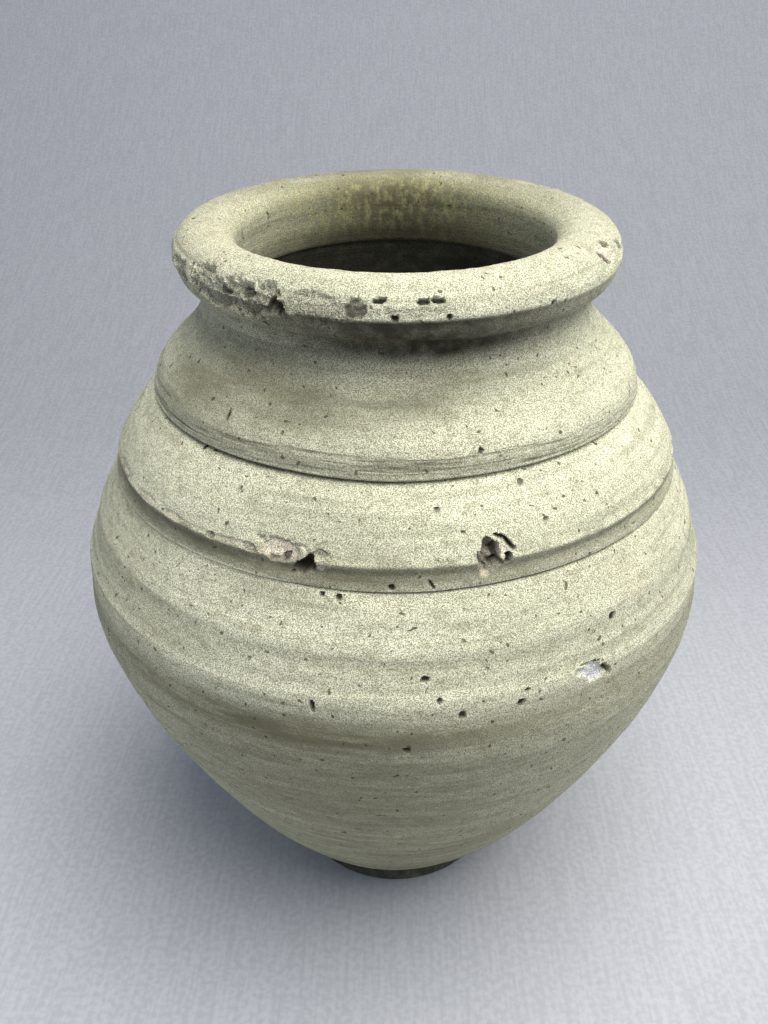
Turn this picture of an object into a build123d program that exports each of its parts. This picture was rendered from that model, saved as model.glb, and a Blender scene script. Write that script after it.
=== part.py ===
# A wide-mouthed Greek storage jar (pithos) of unglazed clay, standing on a small flat foot.
#
# The jar is built up in courses: a foot disc, wall courses up to the belly, two stepped shoulder
# courses, a neck ring and a heavy rolled rim. Each course sits on a bevelled bed of the course
# below, with a thin layer of slip (wet clay) between the two. All lengths are in millimetres. The
# origin is the middle of the foot's underside, and +Z is the jar's axis, pointing up.
import math
import os

from build123d import *

# Foot and floor
foot_radius = 24.5
foot_height = 5.0
foot_taper = 0.6
foot_step = 1.0
foot_chamfer = 0.7
floor_thickness = 9.0
floor_radius = 15.0

# Belly: outer radius at each joint, and how far each course rises
wall_thickness = 6.5
lower_wall_radius = 42.6
lower_wall_rise = 22.0
middle_wall_radius = 57.2
middle_wall_rise = 28.0
belly_radius = 64.7
belly_rise = 26.0
ridge_inset = 1.0
ridge_rise = 10.0
upper_belly_rise = 17.2
upper_belly_bulge = 0.9

# Ledge: the lower incised line, a riser above it and a worn arris
line_radius = 56.8
line_width = 1.2
line_depth = 0.7
ledge_rise = 4.7
ledge_lean = 0.7
arris_chamfer = 0.8

# Shoulder: a bulging tread, the upper incised line, a scored riser and a curve up to the neck
tread_rise = 10.3
tread_bulge = 0.7
seam_radius = 47.8
seam_width = 1.2
seam_depth = 0.9
riser_rise = 2.9
riser_lean = 0.5
shoulder_rise = 14.9
shoulder_slant = 17.0

# Neck, throat and rim
throat_radius = 29.8
throat_depth = 9.0
neck_wall = 7.4
neck_rise = 2.0
rim_skirt = 1.0
rim_flare_rise = 1.4
rim_overhang = 4.4
rim_edge_round = 1.4
rim_widest_rise = 3.6
rim_thickness = 9.0
rim_crest_inset = 5.4
rim_lip_drop = 1.4
rim_lip_width = 1.7
throat_top_drop = 4.0

# Joints: thickness of the slip, and how steeply each bed climbs (or falls) towards the inside
slip_thickness = 0.5
foot_bed_climb = 0.75
wall_bed_climb = 0.6
shoulder_bed_climb = 0.45
neck_bed_fall = 0.35

# Heights of the joints and of the profile's other corners, from the foot up
wall_start = (foot_radius - foot_taper + foot_step, foot_height + foot_step)
lower_wall_height = wall_start[1] + lower_wall_rise
middle_wall_height = lower_wall_height + middle_wall_rise
belly_height = middle_wall_height + belly_rise
ridge_height = belly_height + ridge_rise
line_height = ridge_height + upper_belly_rise
arris_height = line_height + ledge_rise
seam_height = arris_height + tread_rise
riser_height = seam_height + riser_rise
neck_height = riser_height + shoulder_rise
neck_top_height = neck_height + neck_rise
rim_flare_height = neck_top_height + rim_skirt
rim_edge_height = rim_flare_height + rim_flare_rise
rim_height = rim_edge_height + rim_thickness

ridge_radius = belly_radius - ridge_inset
arris_radius = line_radius - ledge_lean
riser_radius = seam_radius - riser_lean
neck_radius = throat_radius + neck_wall
rim_radius = neck_radius + rim_overhang
rim_crest_radius = rim_radius - rim_crest_inset
throat_bottom_height = rim_height - throat_top_drop - throat_depth

belly_levels = [
    wall_start,
    (lower_wall_radius, lower_wall_height),
    (middle_wall_radius, middle_wall_height),
    (belly_radius, belly_height),
    (ridge_radius, ridge_height),
]
shoulder_levels = [
    (line_radius, line_height),
    (seam_radius, seam_height),
    (neck_radius, neck_height),
]


def inward(levels, distance):
    """Moves each (radius, height) level by a distance towards the inside, square to the wall there."""
    moved = []
    for index, (radius, height) in enumerate(levels):
        below = levels[max(index - 1, 0)]
        above = levels[min(index + 1, len(levels) - 1)]
        widening = above[0] - below[0]
        climb = above[1] - below[1]
        slant = math.hypot(widening, climb)
        moved.append((radius - distance * climb / slant, height + distance * widening / slant))
    return moved


# The inside follows the wall as a row of plain cones, without its steps and lines. It leaves out the
# two end levels, where the floor and the throat take over.
inner_levels = inward(belly_levels + shoulder_levels, wall_thickness)[1:-1]

# Half of the jar's wall, cut along the axis: radius across, height up
with BuildSketch() as wall_section:
    with BuildLine():
        Polyline(
            (0, floor_thickness),
            (0, 0),
            (foot_radius - foot_chamfer, 0),
            (foot_radius, foot_chamfer),
            (foot_radius - foot_taper, foot_height),
            wall_start,
        )
        Spline(*belly_levels)
        line_lower_lip = (line_radius, line_height - line_width / 2)
        SagittaArc(line_lower_lip, (ridge_radius, ridge_height), upper_belly_bulge)
        tread_start = (arris_radius - arris_chamfer, arris_height)
        Polyline(
            line_lower_lip,
            (line_radius - line_depth, line_height),
            (line_radius, line_height + line_width / 2),
            (arris_radius, arris_height - arris_chamfer),
            tread_start,
        )
        seam_lower_lip = (seam_radius, seam_height - seam_width / 2)
        SagittaArc(seam_lower_lip, tread_start, tread_bulge)
        Polyline(
            seam_lower_lip,
            (seam_radius - seam_depth, seam_height),
            (seam_radius, seam_height + seam_width / 2),
            (riser_radius, riser_height),
        )
        shoulder_start = (-math.sin(math.radians(shoulder_slant)), math.cos(math.radians(shoulder_slant)))
        Spline((riser_radius, riser_height), (neck_radius, neck_height), tangents=[shoulder_start, (0, 1)])
        rim_edge = (rim_radius - rim_edge_round, rim_edge_height)
        Polyline((neck_radius, neck_height), (neck_radius, rim_flare_height), rim_edge)
        throat_top = (throat_radius, rim_height - throat_top_drop)
        Spline(
            rim_edge,
            (rim_radius, rim_edge_height + rim_widest_rise),
            (rim_crest_radius, rim_height),
            (throat_radius + rim_lip_width, rim_height - rim_lip_drop),
            throat_top,
            tangents=[(1, 1), (0, -1)],
        )
        throat_bottom = (throat_radius, throat_bottom_height)
        Line(throat_top, throat_bottom)
        floor_edge = (floor_radius, floor_thickness)
        Polyline(throat_bottom, *reversed(inner_levels), floor_edge, (0, floor_thickness))
    make_face()

# Each bed is a point on the outer face, and the climb of its slope towards the inside
beds = {
    "foot": (wall_start, foot_bed_climb),
    "lower_wall": ((lower_wall_radius, lower_wall_height), wall_bed_climb),
    "middle_wall": ((middle_wall_radius, middle_wall_height), wall_bed_climb),
    "ridge": ((ridge_radius, ridge_height), wall_bed_climb),
    "line": ((line_radius - line_depth, line_height), shoulder_bed_climb),
    "seam": ((seam_radius - seam_depth, seam_height), shoulder_bed_climb),
    "neck": ((neck_radius, neck_height), -neck_bed_fall),
    "rim": ((neck_radius, neck_top_height), -neck_bed_fall),
}
bed_reach = 2 * wall_thickness


def bed_line(name, lift=0.0):
    """Gives the outer and inner ends of a bed's slope, both clear of the wall, lifted by a thickness."""
    (radius, height), climb = beds[name]
    height += lift
    outer_end = (radius + bed_reach, height - climb * bed_reach)
    inner_end = (radius - bed_reach, height + climb * bed_reach)
    return [outer_end, inner_end]


def turn(label, zone):
    """Turns the part of the wall section that lies in a zone about the axis, and writes the piece."""
    with BuildPart() as piece:
        with BuildSketch(Plane.XZ):
            add(wall_section.sketch_local)
            with BuildLine():
                Polyline(*zone, close=True)
            make_face(mode=Mode.INTERSECT)
        revolve(axis=Axis.Z)
    piece.part.label = label
    export_step(piece.part, f"parts/{label}.step")


os.makedirs("parts", exist_ok=True)

# Foot disc with the floor, below the first bed
outer_end, inner_end = bed_line("foot")
below_foot = -bed_reach
turn("foot_disc", [(0, below_foot), (outer_end[0], below_foot), outer_end, inner_end, (0, inner_end[1])])

# Courses between one bed of slip and the next
courses = {
    "lower_wall": ("foot", "lower_wall"),
    "middle_wall": ("lower_wall", "middle_wall"),
    "belly_wall": ("middle_wall", "ridge"),
    "upper_belly": ("ridge", "line"),
    "lower_shoulder": ("line", "seam"),
    "upper_shoulder": ("seam", "neck"),
    "neck_ring": ("neck", "rim"),
}
for course, (bed_below, bed_above) in courses.items():
    turn(course, bed_line(bed_below, slip_thickness) + bed_line(bed_above)[::-1])

# Rim, above the last bed
outer_end, inner_end = bed_line("rim", slip_thickness)
above_rim = rim_height + bed_reach
turn("rim", [outer_end, inner_end, (inner_end[0], above_rim), (outer_end[0], above_rim)])

# Slip in each joint
for bed in beds:
    turn(f"slip_{bed}", bed_line(bed) + bed_line(bed, slip_thickness)[::-1])
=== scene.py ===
import bpy
import numpy as np
from mathutils import Matrix


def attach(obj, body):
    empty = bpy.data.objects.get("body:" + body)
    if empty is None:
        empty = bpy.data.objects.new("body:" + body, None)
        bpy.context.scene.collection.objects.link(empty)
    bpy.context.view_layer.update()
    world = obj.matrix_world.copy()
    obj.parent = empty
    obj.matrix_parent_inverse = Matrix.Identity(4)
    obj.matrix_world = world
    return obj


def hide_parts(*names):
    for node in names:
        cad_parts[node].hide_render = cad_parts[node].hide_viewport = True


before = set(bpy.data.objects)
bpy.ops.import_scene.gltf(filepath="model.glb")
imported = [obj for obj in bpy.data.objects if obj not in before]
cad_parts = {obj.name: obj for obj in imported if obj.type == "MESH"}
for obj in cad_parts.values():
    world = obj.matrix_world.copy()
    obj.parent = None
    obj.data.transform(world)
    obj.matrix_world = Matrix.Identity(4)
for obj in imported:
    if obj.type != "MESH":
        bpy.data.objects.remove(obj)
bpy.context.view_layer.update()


# Foot disc: a flat pat of clay with the jar's floor in it, cut from the wheel with a wire and left
# rough. The first wall course stands on its bevelled edge, in a bed of slip.
metre = 1000  # in millimetres
line_height, seam_height = 109.2, 124.2  # of the lower and the upper incised line

# The columns of points round the jar stand three times as close together at the front as at the back.
columns, front_crowding = 800, 0.5
turn = np.linspace(-np.pi, np.pi, columns, endpoint=False)
angles = (turn - front_crowding * np.sin(turn))[None, :]


def ripple(angle, height, around, tall, seed):
    """Smooth noise from -1 to 1 on the wall: random numbers on a lattice with `around` cells to a turn
    and cells `tall` millimetres high, joined by smoothstep weights. The last cell meets the first."""
    pattern_height = 260
    levels = int(pattern_height / tall) + 2
    lattice = np.random.default_rng(seed).uniform(-1, 1, (levels, around))
    across, up = angle / (2 * np.pi) * around, height / tall
    left, low = np.floor(across).astype(int), np.floor(up).astype(int)
    across, up = across - left, up - low
    across, up = across * across * (3 - 2 * across), up * up * (3 - 2 * up)
    left, right, low, high = left % around, (left + 1) % around, low % levels, (low + 1) % levels
    below = lattice[low, left] * (1 - across) + lattice[low, right] * across
    above = lattice[high, left] * (1 - across) + lattice[high, right] * across
    return below * (1 - up) + above * up


def smoothstep(start, end, value):
    """Rises from 0 at `start` to 1 at `end` along the curve 3t^2 - 2t^3."""
    share = np.clip((value - start) / (end - start), 0, 1)
    return share * share * (3 - 2 * share)


def bell(middle, half_width, value):
    """Falls from 1 at `middle` to either side, as the exponential of minus the squared distance from it,
    which is counted in half widths."""
    return np.exp(-((value - middle) / half_width) ** 2)


def thrown_relief(angle, height):
    """Outward rise of the thrown clay in millimetres: slow swells of the hands, rings of the fingers that
    wander a little round the jar, fine drag lines, and lumps of grit under the skin. A ridge runs round
    the belly between two hollows. On the left, wear has filled the lower incised line."""
    ring_height = height + 0.9 * ripple(angle, height, 5, 40, 11)
    swell = 0.26 * ripple(angle, height, 4, 45, 12) + 0.12 * ripple(angle, height, 11, 18, 13)
    rings = 0.12 * ripple(angle, ring_height, 2, 5.2, 14) + 0.07 * ripple(angle, ring_height, 3, 2.1, 15)
    drag = 0.035 * ripple(angle, ring_height, 9, 0.75, 16)
    lumps = 0.05 * ripple(angle, height, 90, 3.2, 17) + 0.04 * ripple(angle, height, 330, 1.0, 18)
    ridge = 0.4 * bell(91.6, 1.7, ring_height)
    upper_hollow = 0.3 * bell(97.2, 2.2, ring_height)
    lower_hollow = 0.25 * bell(86.5, 2.2, ring_height)
    worn_share = smoothstep(-10, -24, np.degrees(angle)) * smoothstep(-110, -90, np.degrees(angle))
    worn_line = 0.6 * worn_share * bell(line_height, 0.24, height)
    return swell + rings + drag + lumps + ridge - upper_hollow - lower_hollow + worn_line


def face_rows(corners, spacing, softness=0.0):
    """Spreads rows along a line of (radius, height) corners, `spacing` apart along its length. Corners are
    worn round: each row is the mean of the line over `softness` to either side, less near the ends."""
    corners = np.array(corners, float)
    lengths = np.append(0, np.cumsum(np.hypot(*np.diff(corners, axis=0).T)))
    along = np.linspace(0, lengths[-1], int(np.ceil(lengths[-1] / spacing)) + 1)
    reach = np.minimum(softness, np.minimum(along, lengths[-1] - along))
    spread = along[:, None] + reach[:, None] * np.linspace(-1, 1, 9)
    return np.stack([np.interp(spread, lengths, corners[:, axis]).mean(axis=1) for axis in (0, 1)], axis=1)


def bed_end(line, bed, lift=0.0):
    """Finds where a bed, given as (radius, height, climb towards the inside), crosses a line of (radius,
    height) corners. The bed may be lifted by the thickness of the slip on it."""
    radius, height = np.array(line, float).T
    clear = height - bed[1] - lift - bed[2] * (bed[0] - radius)
    if clear[0] > clear[-1]:
        radius, height, clear = radius[::-1], height[::-1], clear[::-1]
    return np.interp(0, clear, radius), np.interp(0, clear, height)


def place(rows, rise):
    """Turns section rows about the jar's axis, each point pushed outward by its rise: x is the radius
    times the sine of the angle, y its negative cosine. The rim leans towards the front, as if the jar
    had sagged: points above the shoulder move down at the front and up at the back. The belly bulges to
    the left, by a bell curve of the height. The two incised lines dip a little at the front, where the
    potter's tool began and ended."""
    rim_sag, sag_start, sag_end, rim_reach = 1.25, 126.0, 150.0, 41.0
    belly_lean, lean_height, lean_half_height = 0.62, 86.0, 26.0
    line_dip, dip_half_width = 0.42, np.radians(15)
    radius, height = rows[:, :1] + rise, rows[:, 1:]
    lean = belly_lean * bell(lean_height, lean_half_height, height)
    across, back = radius * np.sin(angles) - lean, -radius * np.cos(angles)
    near_lines = bell(line_height, 2.0, height) + bell(seam_height, 2.4, height)
    height = (height + rim_sag * smoothstep(sag_start, sag_end, height) * back / rim_reach
              - line_dip * near_lines * bell(0.0, dip_half_width, angles))
    return np.stack([across, back, height], axis=-1) / metre


def bed_rows(start, end):
    """Lays rows straight across a bed, from the last row of one face to the first row of the next, with
    a row close to either edge so that the edges stay crisp."""
    shares = np.array([0.02, 0.3, 0.7, 0.98])[:, None, None]
    return start * (1 - shares) + end * shares


def ring_mesh(name, grid, marks, poles=()):
    """Joins a grid of rows and columns with four-sided faces, each column to the next and the last to
    the first. Without poles the rows close on themselves too; with two poles, fans of triangles close
    the first and the last row. Marks are one number per point, kept as attributes for the material."""
    crisp_edge = np.radians(32)
    rows = len(grid)
    low, left = np.meshgrid(np.arange(rows if not poles else rows - 1), np.arange(columns), indexing="ij")
    high, right = (low + 1) % rows, (left + 1) % columns
    quads = np.stack([low * columns + left, low * columns + right, high * columns + right,
                      high * columns + left], axis=-1).reshape(-1, 4)
    points = grid.reshape(-1, 3)
    corners, starts = quads.ravel(), np.arange(len(quads)) * 4
    if poles:
        first, onward = np.arange(columns), (np.arange(columns) + 1) % columns
        last = (rows - 1) * columns
        lower_fan = np.stack([np.full(columns, len(points)), onward, first], axis=-1)
        upper_fan = np.stack([last + first, last + onward, np.full(columns, len(points) + 1)], axis=-1)
        starts = np.append(starts, len(corners) + np.arange(2 * columns) * 3)
        corners = np.concatenate([corners, lower_fan.ravel(), upper_fan.ravel()])
        points = np.concatenate([points, np.array(poles) / metre])
    mesh = bpy.data.meshes.new(name)
    mesh.vertices.add(len(points))
    mesh.vertices.foreach_set("co", points.ravel())
    mesh.loops.add(len(corners))
    mesh.loops.foreach_set("vertex_index", corners)
    mesh.polygons.add(len(starts))
    mesh.polygons.foreach_set("loop_start", starts)
    mesh.update(calc_edges=True)
    mesh.polygons.foreach_set("use_smooth", np.ones(len(starts), bool))
    mesh.set_sharp_from_angle(angle=crisp_edge)
    for mark, values in marks.items():
        values = np.append(np.clip(values, 0, 1).ravel(), np.zeros(len(poles)))
        mesh.attributes.new(mark, "FLOAT", "POINT").data.foreach_set("value", values)
    piece = bpy.data.objects.new(name, mesh)
    bpy.context.collection.objects.link(piece)
    return piece


def shade(red, green, blue):
    """Turns a colour as a screen shows it, 0 to 255, into the linear light that a shader works in."""
    screen = np.array([red, green, blue]) / 255
    return (*np.where(screen > 0.04045, ((screen + 0.055) / 1.055) ** 2.4, screen / 12.92).tolist(), 1.0)


def add_node(tree, kind, sockets, **settings):
    """Adds a shader node. A socket that is given another node's output is linked to it, and any other
    is set to its value."""
    node = tree.nodes.new("ShaderNode" + kind)
    for setting, value in settings.items():
        setattr(node, setting, value)
    for socket, value in sockets.items():
        if isinstance(value, bpy.types.NodeSocket):
            tree.links.new(value, node.inputs[socket])
        else:
            node.inputs[socket].default_value = value
    return node


def noise(tree, stretch, detail, roughness=0.55):
    """Adds noise on the piece's own coordinates, with `stretch` cells to a metre along each axis."""
    own_place = add_node(tree, "TexCoord", {}).outputs["Object"]
    stretched = add_node(tree, "Mapping", {"Vector": own_place, "Scale": stretch}).outputs["Vector"]
    sockets = {"Vector": stretched, "Scale": 1.0, "Detail": detail, "Roughness": roughness}
    return add_node(tree, "TexNoise", sockets).outputs["Fac"]


def ramp(tree, value, start, end, low=0.0, high=1.0):
    """Maps a value smoothly from the range `start` to `end` onto `low` to `high`."""
    sockets = {"Value": value, "From Min": start, "From Max": end, "To Min": low, "To Max": high}
    return add_node(tree, "MapRange", sockets, interpolation_type="SMOOTHSTEP").outputs["Result"]


def layer(tree, share, under, over):
    """Lays one colour over another by a share from 0 to 1."""
    return add_node(tree, "MixRGB", {"Fac": share, "Color1": under, "Color2": over}).outputs["Color"]


def times(tree, first, second):
    """Multiplies two shares."""
    return add_node(tree, "Math", {0: first, 1: second}, operation="MULTIPLY").outputs[0]


def pale_clay(name, cream, grey):
    """Makes fired clay: clouds of cream and grey-green, drag lines that run level round the jar, mottling
    and a dense pepper of dark grains. Marks on the mesh add moss, bare or gritty breaks, stone, and soil
    and smoke, which also carry painted shade."""
    material = bpy.data.materials.new(name)
    material.use_nodes = True
    tree = material.node_tree
    clay = tree.nodes["Principled BSDF"]

    def mark(attribute):
        """Reads one of the marks on the mesh, a share from 0 to 1."""
        return add_node(tree, "Attribute", {}, attribute_name=attribute).outputs["Fac"]

    clouds = noise(tree, (22, 22, 30), 4)
    colour = layer(tree, ramp(tree, clouds, 0.42, 0.66), cream, grey)
    warm = noise(tree, (60, 60, 75), 3)
    colour = layer(tree, ramp(tree, warm, 0.55, 0.75, 0, 0.25), colour, shade(230, 214, 180))
    streaks = noise(tree, (35, 35, 800), 3)
    colour = layer(tree, ramp(tree, streaks, 0.48, 0.7, 0, 0.4), colour, shade(164, 163, 138))
    mottle = noise(tree, (420, 420, 560), 4, 0.6)
    colour = layer(tree, ramp(tree, mottle, 0.48, 0.68, 0, 0.42), colour, shade(170, 167, 134))

    patchy = noise(tree, (260, 260, 260), 5, 0.62)
    drifts = noise(tree, (70, 70, 480), 5, 0.62)
    # The smoke colour also serves as painted shade, under the belly, on the risers and under the rim.
    smoke_and_shade_share = times(tree, mark("smoke_and_shade"), ramp(tree, drifts, 0.3, 0.62, 0.72, 1))
    colour = layer(tree, smoke_and_shade_share, colour, shade(104, 102, 82))
    tufts = noise(tree, (700, 700, 420), 5, 0.65)
    lichen = times(tree, mark("moss"), ramp(tree, tufts, 0.62, 0.36, 0.35, 1))
    colour = layer(tree, lichen, colour, shade(178, 174, 118))
    mossy = times(tree, times(tree, mark("moss"), mark("moss")), ramp(tree, tufts, 0.34, 0.58, 0.3, 1))
    colour = layer(tree, mossy, colour, shade(60, 57, 34))
    colour = layer(tree, mark("bare"), colour, shade(245, 231, 208))

    pepper = noise(tree, (5400, 5400, 6800), 2, 0.5)
    colour = layer(tree, ramp(tree, pepper, 0.44, 0.56, 0, 0.76), colour, shade(100, 95, 70))
    grit = noise(tree, (900, 900, 900), 0)
    colour = layer(tree, ramp(tree, grit, 0.77, 0.82, 0, 0.8), colour, shade(66, 58, 42))
    grains = ramp(tree, pepper, 0.43, 0.57)
    gritty = layer(tree, grains, shade(196, 192, 166), shade(96, 92, 76))
    colour = layer(tree, times(tree, mark("gritty"), ramp(tree, patchy, 0.3, 0.6, 0.6, 1)), colour, gritty)
    stony = layer(tree, grains, shade(242, 241, 238), shade(158, 158, 158))
    colour = layer(tree, mark("stone"), colour, stony)
    # The soil colour also serves as painted shade: under the rim, down the throat, round the foot, in holes
    # and on hidden faces.
    soil_and_shade_share = times(tree, mark("soil_and_shade"), ramp(tree, patchy, 0.25, 0.6, 0.84, 1))
    colour = layer(tree, soil_and_shade_share, colour, shade(50, 46, 35))
    tree.links.new(colour, clay.inputs["Base Color"])

    grain = noise(tree, (1900, 1900, 1900), 3, 0.65)
    skin = add_node(tree, "Bump", {"Height": grain, "Distance": 0.0002, "Strength": 0.6}).outputs["Normal"]
    drag = {"Height": streaks, "Distance": 0.0003, "Strength": 0.4, "Normal": skin}
    tree.links.new(add_node(tree, "Bump", drag).outputs["Normal"], clay.inputs["Normal"])
    clay.inputs["Roughness"].default_value = 0.93
    clay.inputs["Specular IOR Level"].default_value = 0.25
    return material


body_clay = pale_clay("body_clay", shade(247, 245, 213), shade(231, 229, 198))

# Each corner of the jar's inside is named for the part of the outer wall that it lies behind.
foot_bed = (24.9, 6.0, 0.75)
floor_height, pole_radius, wire_roughness = 9.0, 0.4, 1.3
floor_edge, inside_lower_joint = (15.0, floor_height), (37.1, 31.5)
floor_line = [floor_edge, inside_lower_joint]
foot_side = [(23.8, 0.0), (24.5, 0.7), (23.9, 5.0), foot_bed[:2]]
under_rows = face_rows([(pole_radius, 0.0), foot_side[0]], 1.3)
side_rows = face_rows(foot_side, 0.3, 0.3)[1:]
floor_rows = face_rows([bed_end(floor_line, foot_bed), floor_edge, (pole_radius, floor_height)], 1.0, 0.8)
foot_rows = np.concatenate([under_rows, side_rows])
foot_relief = wire_roughness * thrown_relief(angles, foot_rows[:, 1:])
foot_rise = foot_relief * smoothstep(0.0, 1.5, foot_rows[:, 1:])
foot_outer = place(foot_rows, foot_rise)
foot_inner = place(floor_rows, 0 * angles)
foot_grid = np.concatenate([foot_outer, bed_rows(foot_outer[-1], foot_inner[0]), foot_inner])
# The foot is darkened with painted shade and soil, where the belly above shades it.
foot_soil_and_shade = np.full(foot_grid.shape[:2], 0.95)
foot_disc = ring_mesh("foot_disc_clay", foot_grid, {"soil_and_shade": foot_soil_and_shade}, [(0, 0, 0), (0, 0, floor_height)])
foot_disc.data.materials.append(body_clay)
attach(foot_disc, "root")
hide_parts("foot_disc")


# Lower wall: the cone that springs from the foot, thrown in one pull, darkened with painted shade under the
# belly.
# Soft finger rings run round it, and small grits have dropped out and left pits.
slip_thickness = 0.5


def chip_shapes(angle, height, chips, radius):
    """Adds up chips and pits in a wall of a given radius. Each is (angle in degrees, height, width,
    tallness, lean in degrees, depth, finish): a leaning oval whose distance from its middle is roughened
    by noise, with a steep edge and a rough floor. Returns the depth, and a share for each finish."""
    depth = np.zeros(np.broadcast(angle, height).shape)
    shares = {mark: 0 * depth for mark in ("soil_and_shade", "bare", "stone", "smoke_and_shade", "gritty")}
    # Holes, pits and cavities take the soil colour: painted shade in their depths, with some soil.
    finishes = {"hole": {"soil_and_shade": 1.0}, "pit": {"soil_and_shade": 0.75}, "break": {"bare": 0.9}, "stone": {"stone": 1.0},
                "old break": {"gritty": 0.85}, "cavity": {"bare": 0.8, "soil_and_shade": 0.6}, "worn": {"bare": 0.4}}
    ragged = 0.32 * ripple(angle, height, 230, 1.5, 21) + 0.2 * ripple(angle, height, 620, 0.6, 22)
    floor = 1 + 0.3 * ripple(angle, height, 420, 0.7, 23)
    for middle, level, width, tallness, lean, deepest, finish in chips:
        if level + tallness < height.min() or level - tallness > height.max():
            continue
        aside = radius * ((angle - np.radians(middle) + np.pi) % (2 * np.pi) - np.pi)
        above, lean = height - level, np.radians(lean)
        across = (aside * np.cos(lean) + above * np.sin(lean)) / (width / 2)
        upward = (above * np.cos(lean) - aside * np.sin(lean)) / (tallness / 2)
        inside = smoothstep(1.1, 0.75, np.hypot(across, upward) + ragged * min(1.0, width / 2))
        depth = np.maximum(depth, deepest * inside * floor)
        for mark, strength in finishes[finish].items():
            shares[mark] = np.maximum(shares[mark], strength * inside)
    return depth, shares


def soft_ovals(ovals, height):
    """Adds up soft marks, each (angle in degrees or None for all round, height, half width in degrees,
    half height, strength), as bell curves of angle and height."""
    total = np.zeros(np.broadcast(angles, height).shape)
    for middle, level, half_width, half_height, strength in ovals:
        aside = 0.0 if middle is None else (np.degrees(angles) - middle + 180) % 360 - 180
        total += strength * np.exp(-(aside / half_width) ** 2 - ((height - level) / half_height) ** 2)
    return total


def lay_ring(node, outer, inner, chips=(), smoke_and_shade=(), soil_and_shade=(), scored=0.0, finish=None):
    """Makes a ring of the wall: its outer rows carry the thrown relief less the chips and score lines,
    its inner rows a softer relief that dies out near the throat, and straight beds join them. The inner
    relief is read from far up the noise, so that it doesn't repeat the outer one. Smoke and soil are soft
    ovals that also carry painted shade, score lines hold soil too, and the beds and inner rows get painted
    shade."""
    inner_shift, inner_softness, throat_ease = 400, 0.8, 0.3
    # The beds and inner rows are darkened with the soil colour as painted shade.
    hidden_shade, score_soil = 0.85, 1.6
    height = outer[:, 1:]
    depth, marks = chip_shapes(angles, height, chips, outer[:, 0].mean())
    marks["smoke_and_shade"] = marks["smoke_and_shade"] + soft_ovals(smoke_and_shade, height)
    marks["soil_and_shade"] = marks["soil_and_shade"] + soft_ovals(soil_and_shade, height) + score_soil * scored
    outer_grid = place(outer, thrown_relief(angles, height) - depth - scored)
    near_throat = smoothstep(128, 138, inner[:, 1:])
    inner_rise = inner_softness * thrown_relief(angles, inner[:, 1:] + inner_shift) * (1 - near_throat)
    inner_grid = place(inner, inner_rise + throat_ease * near_throat)
    grid = np.concatenate([outer_grid, bed_rows(outer_grid[-1], inner_grid[0]), inner_grid,
                           bed_rows(inner_grid[-1], outer_grid[0])])
    hidden = np.zeros((len(grid) - len(outer), columns))
    marks = {mark: np.concatenate([share, hidden + (hidden_shade if mark == "soil_and_shade" else 0)])
             for mark, share in marks.items()}
    piece = ring_mesh(node + "_clay", grid, marks)
    piece.data.materials.append(finish or body_clay)
    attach(piece, "root")
    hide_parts(node)


# The wall's radius from the foot to the ridge is the curve of fourth degree through its four joints and
# its widest point.
lower_wall_bed, middle_wall_bed, ridge_bed = (42.6, 28.0, 0.6), (57.2, 56.0, 0.6), (63.7, 92.0, 0.6)
widest_point = (64.7, 82.0)
wall_levels = np.array([foot_bed[:2], lower_wall_bed[:2], middle_wall_bed[:2], widest_point, ridge_bed[:2]])
wall_curve = np.polyfit(wall_levels[:, 1], wall_levels[:, 0], 4)


def wall_line(bottom, top):
    """Gives the wall's outer (radius, height) points between two heights."""
    heights = np.linspace(bottom, top, 40)
    return np.stack([np.polyval(wall_curve, heights), heights], axis=1)


pit_draw = np.random.default_rng(31)
pit_count, lowest_pit, highest_pit = 55, 12, 137
small_pits = [
    (pit_draw.uniform(-180, 180), pit_draw.uniform(lowest_pit, highest_pit), size,
     size * pit_draw.uniform(0.7, 1.3), pit_draw.uniform(-60, 60), 0.4 * size, "pit")
    for size in pit_draw.uniform(0.35, 0.8, pit_count)]
inside_middle_joint = (51.2, 58.5)
lower_inside = [floor_edge, inside_lower_joint, inside_middle_joint]
lower_outer = wall_line(bed_end(wall_line(5, 9), foot_bed, slip_thickness)[1], lower_wall_bed[1])
lower_inner = [bed_end(lower_inside, lower_wall_bed), bed_end(lower_inside, foot_bed, slip_thickness)]
# Painted shade with some smoke: the wall below the ridge and down to the foot is darkened, most at the front.
painted_wall_shade = [(None, 85.6, 1, 3.2, 0.42), (None, 78.0, 1, 9.0, 0.26), (None, 62.0, 1, 11.0, 0.18),
               (None, 40.0, 1, 14.0, 0.26), (None, 20.0, 1, 10.0, 0.26), (-16, 86.0, 26, 5.0, 0.28),
               (-6, 78.0, 38, 9.0, 0.46), (-4, 62.0, 40, 11.0, 0.5), (0, 40.0, 44, 14.0, 0.5),
               (0, 20.0, 46, 10.0, 0.44)]
# Next to the foot the wall gets painted shade and soil.
lay_ring("lower_wall", face_rows(lower_outer, 0.46), face_rows(lower_inner, 1.6), small_pits,
         smoke_and_shade=painted_wall_shade, soil_and_shade=[(None, 5.2, 1, 2.2, 0.75)])


# Middle wall: the next course of clay, set on the cone in a bed of slip and pulled out wider. The same
# finger rings run round it.
inside_belly = (58.3, 83.1)
middle_inside = [inside_lower_joint, inside_middle_joint, inside_belly]
near_lower_joint = wall_line(26, 31)
middle_outer = wall_line(bed_end(near_lower_joint, lower_wall_bed, slip_thickness)[1], middle_wall_bed[1])
middle_inner = [bed_end(middle_inside, middle_wall_bed), inside_middle_joint,
                bed_end(middle_inside, lower_wall_bed, slip_thickness)]
lay_ring("middle_wall", face_rows(middle_outer, 0.46), face_rows(middle_inner, 1.8), small_pits,
         smoke_and_shade=painted_wall_shade)


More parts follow.
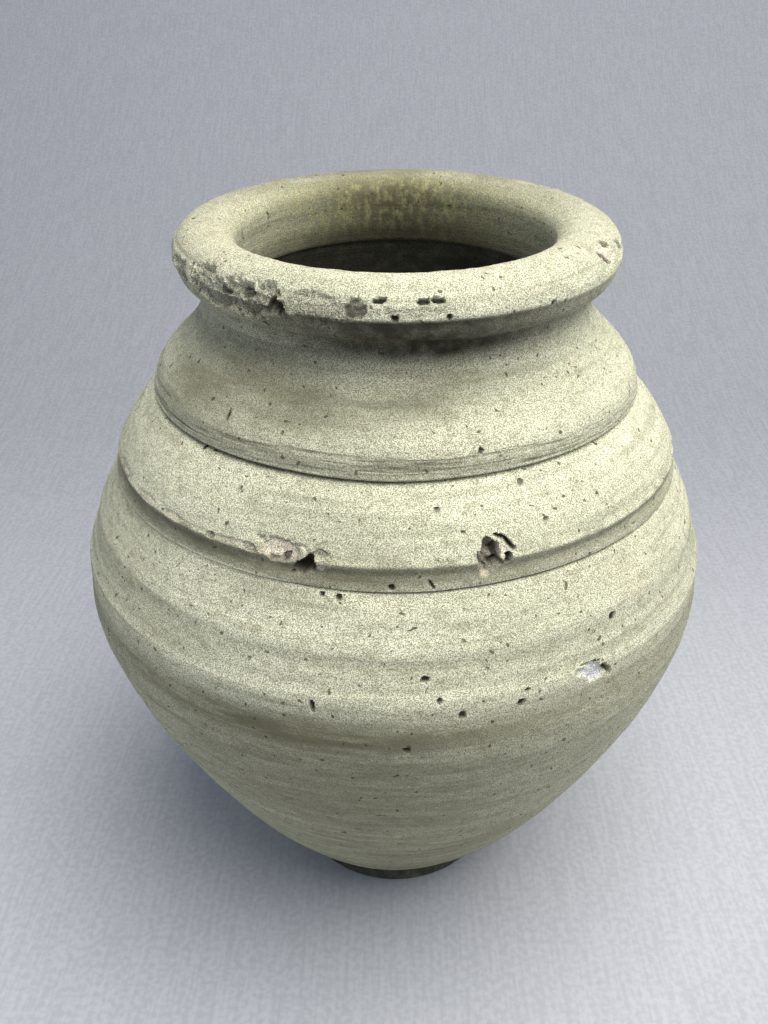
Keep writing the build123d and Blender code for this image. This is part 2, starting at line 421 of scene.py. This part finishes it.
# Belly wall: the widest course, closed off by a faint ridge where the next course was joined on. A
# stone has burst out of it on the right, just under the ridge, and left a white spall.
inside_ridge, inside_line = (57.5, 90.2), (51.0, 106.3)
belly_inside = [inside_middle_joint, inside_belly, inside_ridge, inside_line]
near_middle_joint = wall_line(54, 59)
belly_outer = wall_line(bed_end(near_middle_joint, middle_wall_bed, slip_thickness)[1], ridge_bed[1])
belly_inner = [bed_end(belly_inside, ridge_bed), inside_ridge, inside_belly,
               bed_end(belly_inside, middle_wall_bed, slip_thickness)]
belly_chips = small_pits + [
    (32.0, 91.5, 7.0, 2.6, -16, 1.0, "stone"), (32.8, 90.6, 4.6, 3.2, 0, 1.1, "stone"),
    (35.2, 90.6, 0.9, 3.2, 32, 1.6, "hole"), (31.6, 93.0, 4.5, 0.5, -4, 1.0, "hole"),
    (10.4, 89.6, 1.2, 1.6, 0, 0.6, "hole"), (19.5, 90.0, 1.3, 1.1, 20, 0.6, "hole"),
    (-11.5, 91.1, 0.8, 2.4, 10, 0.6, "hole"), (2.3, 83.0, 1.3, 1.2, 0, 0.6, "hole"),
    (5.0, 96.1, 1.7, 1.3, 0, 0.6, "hole"), (37.6, 99.0, 1.4, 1.4, 0, 0.6, "hole"),
    (7.0, 92.6, 1.0, 1.0, 0, 0.5, "hole"), (20.5, 92.0, 1.0, 0.9, 0, 0.5, "hole"),
]
lay_ring("belly_wall", face_rows(belly_outer, 0.42), face_rows(belly_inner, 2.2), belly_chips,
         smoke_and_shade=painted_wall_shade)


# Upper belly: the course of clay between the ridge and the lower incised line, which was cut with a
# pointed tool along the joint at its top. It stays pale above the painted shade on the wall below the ridge.
line_bed = (56.1, line_height, 0.45)
inside_seam = (42.2, 120.9)
upper_belly_inside = [inside_ridge, inside_line, inside_seam]
arc_rise, arc_narrowing, arc_bulge = 16.9, 7.0, 3.9
arc_heights = np.linspace(ridge_bed[1], ridge_bed[1] + arc_rise, 30)
arc_share = (arc_heights - ridge_bed[1]) / arc_rise
arc_radii = ridge_bed[0] - arc_narrowing * arc_share + arc_bulge * arc_share * (1 - arc_share)
upper_belly_arc = np.stack([arc_radii, arc_heights], axis=1)
upper_belly_start = bed_end(upper_belly_arc, ridge_bed, slip_thickness)
upper_belly_outer = np.concatenate([
    [upper_belly_start], upper_belly_arc[upper_belly_arc[:, 1] > upper_belly_start[1]], [line_bed[:2]]])
upper_belly_inner = [bed_end(upper_belly_inside, line_bed), inside_line,
                     bed_end(upper_belly_inside, ridge_bed, slip_thickness)]
upper_belly_chips = belly_chips + [
    (-8.8, 108.1, 1.3, 1.2, 0, 0.7, "hole"), (-11.5, 108.3, 0.9, 0.8, 0, 0.5, "hole"),
]
line_soil = [(25, line_height, 34, 0.2, 0.62), (180, line_height, 60, 0.2, 0.4)]
# Bands and patches of smoke, with painted shade below the riser on the left and the painted wall shade.
belly_smoke_and_shade = [(None, 98.0, 1, 2.2, 0.24), (None, 94.8, 1, 1.0, 0.18), (-45, 101.0, 24, 6.0, 0.08),
               (-20.0, 107.4, 9, 2.4, 0.4), (-55.0, 109.0, 30, 2.4, 0.28), *painted_wall_shade]
lay_ring("upper_belly", face_rows(upper_belly_outer, 0.28, 0.1), face_rows(upper_belly_inner, 1.8),
         upper_belly_chips, smoke_and_shade=belly_smoke_and_shade, soil_and_shade=line_soil)


# Lower shoulder: a low riser above the incised line, an arris worn and chipped by use, and a broad
# sloping tread up to the second line. Two grits have dropped out of the arris at the front.
seam_bed = (46.9, seam_height, 0.45)
throat_foot = (29.8, 142.4)
lower_shoulder_inside = [inside_line, inside_seam, throat_foot]
ledge_line = [line_bed[:2], (56.75, 109.5), (56.65, 110.2), (55.9, 111.8), (55.95, 112.7), (56.2, 113.3),
              (55.7, 113.8)]
ledge_rows = face_rows([bed_end(ledge_line[:2], line_bed, slip_thickness), *ledge_line[1:]], 0.17, 0.3)
tread_end, tread_bulge, tread_outward = (47.75, 123.8), 0.7, (0.775, 0.632)
tread_share = np.linspace(0, 1, 16)[:, None]
tread_line = (np.array(ledge_line[-1]) * (1 - tread_share) + np.array(tread_end) * tread_share
              + 4 * tread_bulge * tread_share * (1 - tread_share) * np.array(tread_outward))
tread_rows = face_rows([*tread_line, seam_bed[:2]], 0.26, 0.15)
lower_shoulder_inner = [bed_end(lower_shoulder_inside, seam_bed), inside_seam,
                        bed_end(lower_shoulder_inside, line_bed, slip_thickness)]
arris_chips = small_pits + [
    (16.0, 113.8, 3.6, 4.6, -8, 2.4, "cavity"), (15.3, 111.6, 2.2, 1.5, 20, 1.3, "break"),
    (17.1, 113.8, 1.1, 3.6, -6, 2.6, "hole"),
    (18.0, 116.5, 2.6, 0.8, -20, 0.8, "hole"), (19.6, 115.3, 2.4, 0.8, -52, 0.9, "hole"),
    (19.2, 113.2, 1.1, 1.7, -10, 1.4, "hole"), (18.4, 114.6, 1.6, 2.4, -15, 0.35, "break"),
    (-14.8, 112.3, 4.0, 2.7, 30, 2.2, "hole"), (-19.2, 114.3, 8.4, 3.4, 0, 0.8, "break"),
    (-18.2, 113.3, 1.5, 1.8, -25, 1.3, "cavity"), (-11.9, 112.9, 1.8, 1.5, 0, 0.2, "break"),
    (-12.2, 114.4, 3.4, 1.5, 8, 0.5, "old break"), (-33.0, 113.7, 1.6, 1.2, 0, 0.5, "old break"),
    (-66.0, 113.8, 9.0, 1.8, 0, 0.3, "worn"), (-53.0, 113.7, 6.0, 1.4, 0, 0.25, "worn"),
    (-43.0, 113.7, 5.0, 1.2, 0, 0.25, "worn"), (-29.0, 113.7, 7.0, 1.2, 0, 0.2, "worn"),
    (-25.0, 113.6, 3.0, 1.2, -8, 0.5, "old break"),
    (-0.3, 110.2, 1.0, 0.9, 0, 0.6, "hole"), (6.2, 110.4, 0.5, 1.6, 35, 0.5, "hole"),
    (7.5, 120.7, 1.1, 0.9, 0, 0.5, "pit"), (24.6, 122.6, 1.3, 1.1, 0, 0.4, "pit"),
    (27.3, 117.4, 0.9, 0.8, 0, 0.5, "pit"), (11.8, 117.6, 0.9, 0.6, 0, 0.4, "pit"),
]
seam_soil = [(None, seam_height, 1, 0.24, 0.1), (-30, seam_height, 24, 0.4, 0.5),
             (2, seam_height, 22, 0.22, 0.3)]
shoulder_rows = np.concatenate([ledge_rows, tread_rows[1:]])
arris_height, nibble_share, nibble_depth = 113.5, 0.4, 0.35
nibbles = nibble_share * smoothstep(0.1, 0.8, ripple(angles, 0 * angles, 150, 1.0, 41))
worn_arris = nibbles * bell(arris_height, 0.6, shoulder_rows[:, 1:])
# The riser under the arris gets painted shade, as smoke and soil, most at the front and on the left.
lay_ring("lower_shoulder", shoulder_rows, face_rows(lower_shoulder_inner, 1.8), arris_chips,
         smoke_and_shade=[(None, 111.4, 1, 1.8, 0.36), (-12, 111.4, 50, 1.8, 0.44), (-50, 110.8, 40, 2.2, 0.3),
                (-12, 119.0, 14, 5.5, 0.3)],
         soil_and_shade=[*line_soil, *seam_soil, (None, 112.3, 1, 0.9, 0.18), (-10, 112.3, 46, 0.9, 0.3)],
         scored=nibble_depth * worn_arris)


# Upper shoulder: a low riser scored by the potter's comb, and a slope that curves up to the neck. The
# fire has left grey clouds on the clay, most of them on its left, and it carries painted shade under the rim.
neck_radius, riser_top, score_depth = 37.2, 129.0, 0.15
neck_bed = (neck_radius, 142.0, -0.35)
upper_shoulder_inside = [inside_seam, throat_foot]
climb = np.linspace(0, 1, 40)
shoulder_start, shoulder_end, shoulder_slant = (47.3, 127.1), neck_bed[:2], np.radians(17)
shoulder_pull = np.hypot(shoulder_start[0] - shoulder_end[0], shoulder_end[1] - shoulder_start[1])
start_pull, end_pull = climb * (1 - climb) ** 2 * shoulder_pull, climb ** 2 * (1 - climb) * shoulder_pull
settled = climb ** 2 * (3 - 2 * climb)
shoulder_curve = np.stack([
    shoulder_start[0] * (1 - settled) + shoulder_end[0] * settled - np.sin(shoulder_slant) * start_pull,
    shoulder_start[1] * (1 - settled) + shoulder_end[1] * settled + np.cos(shoulder_slant) * start_pull
    - end_pull], axis=1)
seam_flank = [seam_bed[:2], (47.75, 124.8)]
riser_rows = face_rows([bed_end(seam_flank, seam_bed, slip_thickness), seam_flank[1], shoulder_start,
                        *shoulder_curve[shoulder_curve[:, 1] < riser_top][1:]], 0.11, 0.2)
slope_rows = face_rows([riser_rows[-1], *shoulder_curve[shoulder_curve[:, 1] >= riser_top]], 0.33)
upper_shoulder_inner = [bed_end(upper_shoulder_inside, neck_bed),
                        bed_end(upper_shoulder_inside, seam_bed, slip_thickness)]
shoulder_chips = small_pits + [
    (17.1, 128.3, 0.9, 1.2, 0, 0.5, "hole"), (-38.0, 130.5, 0.5, 2.0, 10, 0.3, "hole"),
]
# Grey fire clouds, with painted shade from the rim on the slope and painted shade on the riser at the front.
fire_clouds_and_rim_shade = [(-22, 133.5, 13, 4.5, 0.62), (-54, 132, 16, 5.0, 0.64), (-4, 134, 14, 3.0, 0.35),
               (-38, 133, 12, 5.0, 0.26), (8, 135.5, 10, 3.0, 0.22),
               (16, 137, 26, 3.4, 0.4), (None, 133, 1, 8.0, 0.1), (-6, 126.4, 60, 1.7, 0.38),
               (-42, 140, 26, 4.5, 0.56)]
upper_rows = np.concatenate([riser_rows, slope_rows[1:]])
comb_height = upper_rows[:, 1:] + 0.35 * ripple(angles, upper_rows[:, 1:], 14, 3.0, 51)
combed = smoothstep(124.9, 125.3, upper_rows[:, 1:]) * smoothstep(129.4, 128.0, upper_rows[:, 1:])
scores = combed * (smoothstep(0.1, 0.7, ripple(angles, comb_height, 22, 0.5, 52))
                   + 0.7 * smoothstep(0.2, 0.8, ripple(angles, comb_height, 64, 0.3, 53)))
# Painted shade with some soil under the rim, round the neck and most just right of the front.
neck_soil_and_shade = [(None, 145.0, 1, 3.4, 0.35), (7, 143.4, 34, 3.4, 0.85)]
lay_ring("upper_shoulder", upper_rows, face_rows(upper_shoulder_inner, 1.8), shoulder_chips,
         smoke_and_shade=fire_clouds_and_rim_shade, soil_and_shade=[*seam_soil, (None, 126.2, 1, 1.2, 0.1), *neck_soil_and_shade],
         scored=score_depth * scores)


# Neck ring: a short upright collar of clay, bedded in slip on the shoulder. It stands in the shade of
# the rim and is darkened with painted shade and some soil.
rim_bed = (neck_radius, 144.0, -0.35)
neck_outer = [(neck_radius, neck_bed[1] + slip_thickness), rim_bed[:2]]
neck_inner = [bed_end(upper_shoulder_inside, rim_bed),
              bed_end(upper_shoulder_inside, neck_bed, slip_thickness)]
lay_ring("neck_ring", face_rows(neck_outer, 0.3), face_rows(neck_inner, 1.2), soil_and_shade=neck_soil_and_shade)


# Rim: a heavy roll of clay turned over the neck and smoothed with a wet hand, with a plain throat
# inside it. Its lower edge is broken away on the left and chipped in front, and moss grows in the throat.
rim_flank = [rim_bed[:2], (neck_radius, 145.0)]
rim_start = bed_end(rim_flank, rim_bed, slip_thickness)
rim_side, rim_radius = (41.75, 149.9), 41.5
flare_rows = face_rows([rim_start, rim_flank[1], (38.8, 145.5), (40.2, 146.3), (40.95, 147.5), (41.15, 148.8),
                        rim_side], 0.33, 0.5)
roll_rows = face_rows([rim_side, (41.75, 151.3), (41.2, 152.6), (40.4, 153.7), (39.2, 154.5), (37.6, 155.2),
                       (36.0, 155.4), (33.6, 155.0), (31.5, 154.0), (30.2, 152.6), (29.8, 151.2),
                       throat_foot, bed_end(upper_shoulder_inside, rim_bed, slip_thickness)], 0.33, 1.2)
rim_rows = np.concatenate([flare_rows, roll_rows[1:]])

# Chips and marks of the rim are placed by the length along its section, from the neck out over the roll
# and down the throat.
along = np.append(0, np.cumsum(np.hypot(*np.diff(rim_rows, axis=0).T)))[:, None]
rim_chips = [
    (-48.0, 8.2, 13.0, 6.4, -3, 1.0, "old break"), (-37.0, 8.3, 12.0, 6.6, -4, 1.2, "old break"),
    (-30.0, 8.8, 6.0, 5.6, 10, 0.9, "old break"), (-27.3, 8.3, 3.2, 3.0, 0, 1.8, "hole"),
    (-36.0, 9.6, 3.4, 2.6, 30, 1.5, "pit"), (-43.0, 8.6, 2.6, 1.8, -20, 1.4, "pit"),
    (-18.0, 8.9, 17.0, 4.8, 0, 0.35, "old break"), (-56.5, 9.0, 1.3, 4.2, 8, 1.5, "hole"),
    (-64.0, 8.2, 8.0, 5.0, 0, 0.8, "old break"), (-72.0, 7.6, 2.2, 3.0, 0, 1.3, "hole"),
    (-78.0, 8.4, 4.0, 3.0, 0, 0.5, "old break"), (-8.6, 9.3, 4.0, 4.2, 10, 0.6, "pit"),
    (-3.3, 10.8, 2.8, 1.0, 12, 0.7, "hole"), (-0.3, 8.0, 1.3, 1.2, 0, 0.8, "hole"),
    (6.0, 10.6, 2.2, 0.9, 0, 0.6, "hole"), (8.9, 10.7, 2.6, 1.1, -8, 0.8, "hole"),
    (11.4, 8.0, 1.0, 1.0, 0, 0.7, "hole"), (3.0, 8.9, 14.0, 1.6, 0, 0.15, "old break"),
    (62.5, 11.8, 5.4, 4.4, 0, 0.35, "break"), (65.0, 13.1, 3.6, 1.2, -38, 1.0, "pit"),
    (60.0, 11.0, 3.8, 1.2, -42, 1.0, "pit"), (73.0, 10.0, 2.4, 3.0, 0, 1.4, "hole"),
    (37.0, 7.6, 1.2, 1.0, 0, 0.6, "pit"), (120.0, 8.4, 7.0, 3.4, 0, 0.8, "old break"),
    (165.0, 8.6, 4.0, 2.4, 0, 0.7, "old break"), (-130.0, 8.3, 6.0, 3.0, 0, 0.8, "old break"),
]
rim_depth, rim_marks = chip_shapes(angles, along, rim_chips, rim_radius)
finger_wander = 0.3 * ripple(angles, 0 * angles, 7, 1.0, 61)
finger_line = 0.14 * bell(0.0, 0.28, along - 10.7 - finger_wander)
rough_face = 0.06 * ripple(angles, along, 500, 0.5, 62) * bell(9.0, 1.6, along)
rim_relief = thrown_relief(angles, along + rim_start[1]) * smoothstep(30.0, 22.0, along)
rim_rise = rim_relief - rim_depth - finger_line + rough_face

# The rim's relief stands square to its section, and level where it starts from the neck.
step = np.gradient(rim_rows, axis=0)
outward = np.stack([step[:, 1], -step[:, 0]], axis=1) / np.hypot(*step.T)[:, None]
turning = smoothstep(0.0, 1.5, along)
outward = outward * turning + np.array([[1.0, 0.0]]) * (1 - turning)
push = rim_rise[..., None] * np.stack([outward[:, :1] * np.sin(angles), -outward[:, :1] * np.cos(angles),
                                       outward[:, 1:] + 0 * angles], axis=-1)
rim_grid = place(rim_rows, 0 * angles) + push / metre
rim_bed_rows = bed_rows(rim_grid[-1], rim_grid[0])
facing_back = 0.5 - 0.5 * np.cos(angles)
on_top = smoothstep(8.0, 13.0, along)
sideways, leftward = np.abs(np.sin(angles)), np.clip(-np.sin(angles), 0, 1)
in_throat = smoothstep(17.0, 23.0, along)
rim_smudge = soft_ovals([(-15, 9.5, 9, 3.0, 0.34)], along)
rim_marks["smoke_and_shade"] = (rim_marks["smoke_and_shade"] + rim_smudge + (0.14 + 0.08 * sideways + 0.7 * facing_back ** 2)
                      * on_top * (1 - 0.65 * sideways * in_throat))
# Painted shade under the roll, strongest just right of the front, and painted shade with some soil down the
# throat, less on the left and the sides.
roll_shade = 0.14 + 0.86 * bell(4, 46, np.degrees(angles))
under_roll, deep_down = smoothstep(7.9, 7.0, along), smoothstep(26.0 + 3.0 * leftward, 32.5, along)
rim_marks["soil_and_shade"] = rim_marks["soil_and_shade"] + roll_shade * under_roll + (0.9 - 0.6 * sideways ** 2) * deep_down
rim_marks["moss"] = in_throat * (0.25 + 0.68 * facing_back ** 2 - 0.2 * sideways)
# The beds under the rim get the soil colour as painted shade.
bed_shade = np.ones(rim_bed_rows.shape[:2])
rim_marks = {mark: np.concatenate([share, bed_shade * (mark == "soil_and_shade")]) for mark, share in rim_marks.items()}
rim = ring_mesh("rim_clay", np.concatenate([rim_grid, rim_bed_rows]), rim_marks)
rim.data.materials.append(body_clay)
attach(rim, "root")
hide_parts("rim")


# Beds of slip: liquid clay brushed into each joint before the next course went on. Only a thin edge of
# each shows, level with the wall, and in the two incised lines it has gone dark with soil.
slip_clay = pale_clay("slip_clay", shade(240, 237, 208), shade(214, 212, 184))


def lay_slip(node, outside, inside, bed, chips=(), smoke_and_shade=(), soil_and_shade=()):
    """Lays a bed of slip between the lines of the outer and the inner wall. Its edges follow the courses."""
    outer = face_rows([bed_end(outside, bed), bed_end(outside, bed, slip_thickness)], 0.17)
    inner = face_rows([bed_end(inside, bed, slip_thickness), bed_end(inside, bed)], 0.25)
    lay_ring(node, outer, inner, chips, smoke_and_shade, soil_and_shade, finish=slip_clay)


# The foot's slip gets painted shade and soil, like the foot.
lay_slip("slip_foot", wall_line(6, 9), floor_line, foot_bed, soil_and_shade=[(None, 6.0, 1, 4.0, 0.6)])
lay_slip("slip_lower_wall", near_lower_joint, lower_inside, lower_wall_bed, smoke_and_shade=painted_wall_shade)
lay_slip("slip_middle_wall", near_middle_joint, middle_inside, middle_wall_bed, smoke_and_shade=painted_wall_shade)
lay_slip("slip_ridge", upper_belly_arc, belly_inside, ridge_bed, belly_chips, smoke_and_shade=painted_wall_shade)
lay_slip("slip_line", ledge_line[:2], upper_belly_inside, line_bed, soil_and_shade=line_soil)
lay_slip("slip_seam", seam_flank, lower_shoulder_inside, seam_bed, soil_and_shade=seam_soil)
neck_side = [(neck_radius, 141.0), (neck_radius, 143.0)]
lay_slip("slip_neck", neck_side, upper_shoulder_inside, neck_bed, soil_and_shade=neck_soil_and_shade)
lay_slip("slip_rim", rim_flank, upper_shoulder_inside, rim_bed, soil_and_shade=neck_soil_and_shade)


# Studio: a sheet of pale grey ribbed paper that sweeps up behind the jar, a broad soft lamp overhead, a
# little to the right and the front, and an even fill. The camera looks down on the jar from the front.
sweep_half_width, sweep_front, sweep_back, sweep_radius, sweep_top = 2.5, -2.0, 0.14, 0.55, 2.2
sweep_turn = np.linspace(0, np.pi / 2, 25)
sweep_line = np.concatenate([
    [(sweep_front, 0.0)],
    np.stack([sweep_back + sweep_radius * np.sin(sweep_turn),
              sweep_radius * (1 - np.cos(sweep_turn))], axis=1),
    [(sweep_back + sweep_radius, sweep_top)]])
sweep_sides = np.array([-sweep_half_width, sweep_half_width])
sweep_points = np.stack([np.repeat(sweep_sides[None, :], len(sweep_line), axis=0),
                         np.repeat(sweep_line[:, :1], 2, axis=1),
                         np.repeat(sweep_line[:, 1:], 2, axis=1)], axis=-1)
near = np.arange(len(sweep_line) - 1) * 2
sweep_mesh = bpy.data.meshes.new("paper_sweep")
sweep_mesh.from_pydata(sweep_points.reshape(-1, 3).tolist(), [],
                       np.stack([near, near + 1, near + 3, near + 2], axis=1).tolist())
sweep_mesh.shade_smooth()
paper = bpy.data.materials.new("grey_paper")
paper.use_nodes = True
paper_tree = paper.node_tree
paper_ribs = noise(paper_tree, (1000, 60, 60), 2)
paper_fibre = noise(paper_tree, (700, 700, 700), 4)
paper_place = add_node(paper_tree, "TexCoord", {}).outputs["Object"]
paper_back = add_node(paper_tree, "SeparateXYZ", {"Vector": paper_place}).outputs["Y"]
# Painted shade: the paper darkens towards the back, as the lamp's light falls off there.
painted_paper_falloff = ramp(paper_tree, paper_back, -0.04, 0.26)
paper_ground = layer(paper_tree, painted_paper_falloff, shade(171, 172, 176), shade(143, 144, 148))
paper_light = layer(paper_tree, painted_paper_falloff, shade(183, 184, 188), shade(154, 155, 159))
fibre_share = 0.62
paper_grain = layer(paper_tree, fibre_share, paper_ribs, paper_fibre)
paper_colour = layer(paper_tree, ramp(paper_tree, paper_grain, 0.38, 0.62), paper_ground, paper_light)
paper_shader = paper_tree.nodes["Principled BSDF"]
paper_tree.links.new(paper_colour, paper_shader.inputs["Base Color"])
paper_shader.inputs["Roughness"].default_value = 0.95
paper_shader.inputs["Specular IOR Level"].default_value = 0.1
sweep_mesh.materials.append(paper)
paper_sweep = bpy.data.objects.new("paper_sweep", sweep_mesh)
bpy.context.collection.objects.link(paper_sweep)

world = bpy.data.worlds.new("studio_fill")
bpy.context.scene.world = world
world.use_nodes = True
fill = world.node_tree.nodes["Background"]
fill.inputs["Color"].default_value = shade(214, 228, 250)
fill.inputs["Strength"].default_value = 0.53


def aim(stand, target):
    """Makes a placing matrix at a point whose own -Z axis looks at the target."""
    stand, target = np.array(stand), np.array(target)
    backward = (stand - target) / np.linalg.norm(stand - target)
    right = np.cross((0.0, 1.0, 0.0), backward)
    right = right / np.linalg.norm(right)
    matrix = np.eye(4)
    matrix[:3, :4] = np.stack([right, np.cross(backward, right), backward, stand], axis=1)
    return Matrix(matrix.tolist())


soft_lamp = bpy.data.lights.new("soft_lamp", "AREA")
soft_lamp.shape = "DISK"
soft_lamp.size = 0.95
soft_lamp.energy = 13.6
soft_lamp.color = (1.0, 0.985, 0.95)
soft_lamp_stand = bpy.data.objects.new("soft_lamp", soft_lamp)
soft_lamp_stand.matrix_world = aim((0.235, -0.17, 0.9), (0.0, 0.0, 0.1))
bpy.context.collection.objects.link(soft_lamp_stand)

image_height, focal_pixels, sensor_height = 1024, 950, 36.0
camera_tilt, camera_yaw, camera_roll = np.radians([30.236, -0.789, -0.196])
camera_place = (0.0, -0.1809, 0.19631)
forward = np.array([np.sin(camera_yaw) * np.cos(camera_tilt), np.cos(camera_yaw) * np.cos(camera_tilt),
                    -np.sin(camera_tilt)])
level_right = np.array([np.cos(camera_yaw), -np.sin(camera_yaw), 0.0])
level_up = np.cross(level_right, forward)
camera_right = level_right * np.cos(camera_roll) + level_up * np.sin(camera_roll)
camera_up = level_up * np.cos(camera_roll) - level_right * np.sin(camera_roll)
camera_matrix = np.eye(4)
camera_matrix[:3, :4] = np.stack([camera_right, camera_up, -forward, camera_place], axis=1)
view = bpy.data.cameras.new("view")
view.sensor_fit = "VERTICAL"
view.sensor_height = sensor_height
view.lens = focal_pixels / image_height * sensor_height
view.clip_start = 0.01
view_stand = bpy.data.objects.new("view", view)
view_stand.matrix_world = Matrix(camera_matrix.tolist())
bpy.context.collection.objects.link(view_stand)
bpy.context.scene.camera = view_stand
bpy.context.scene.view_settings.view_transform = "Standard"
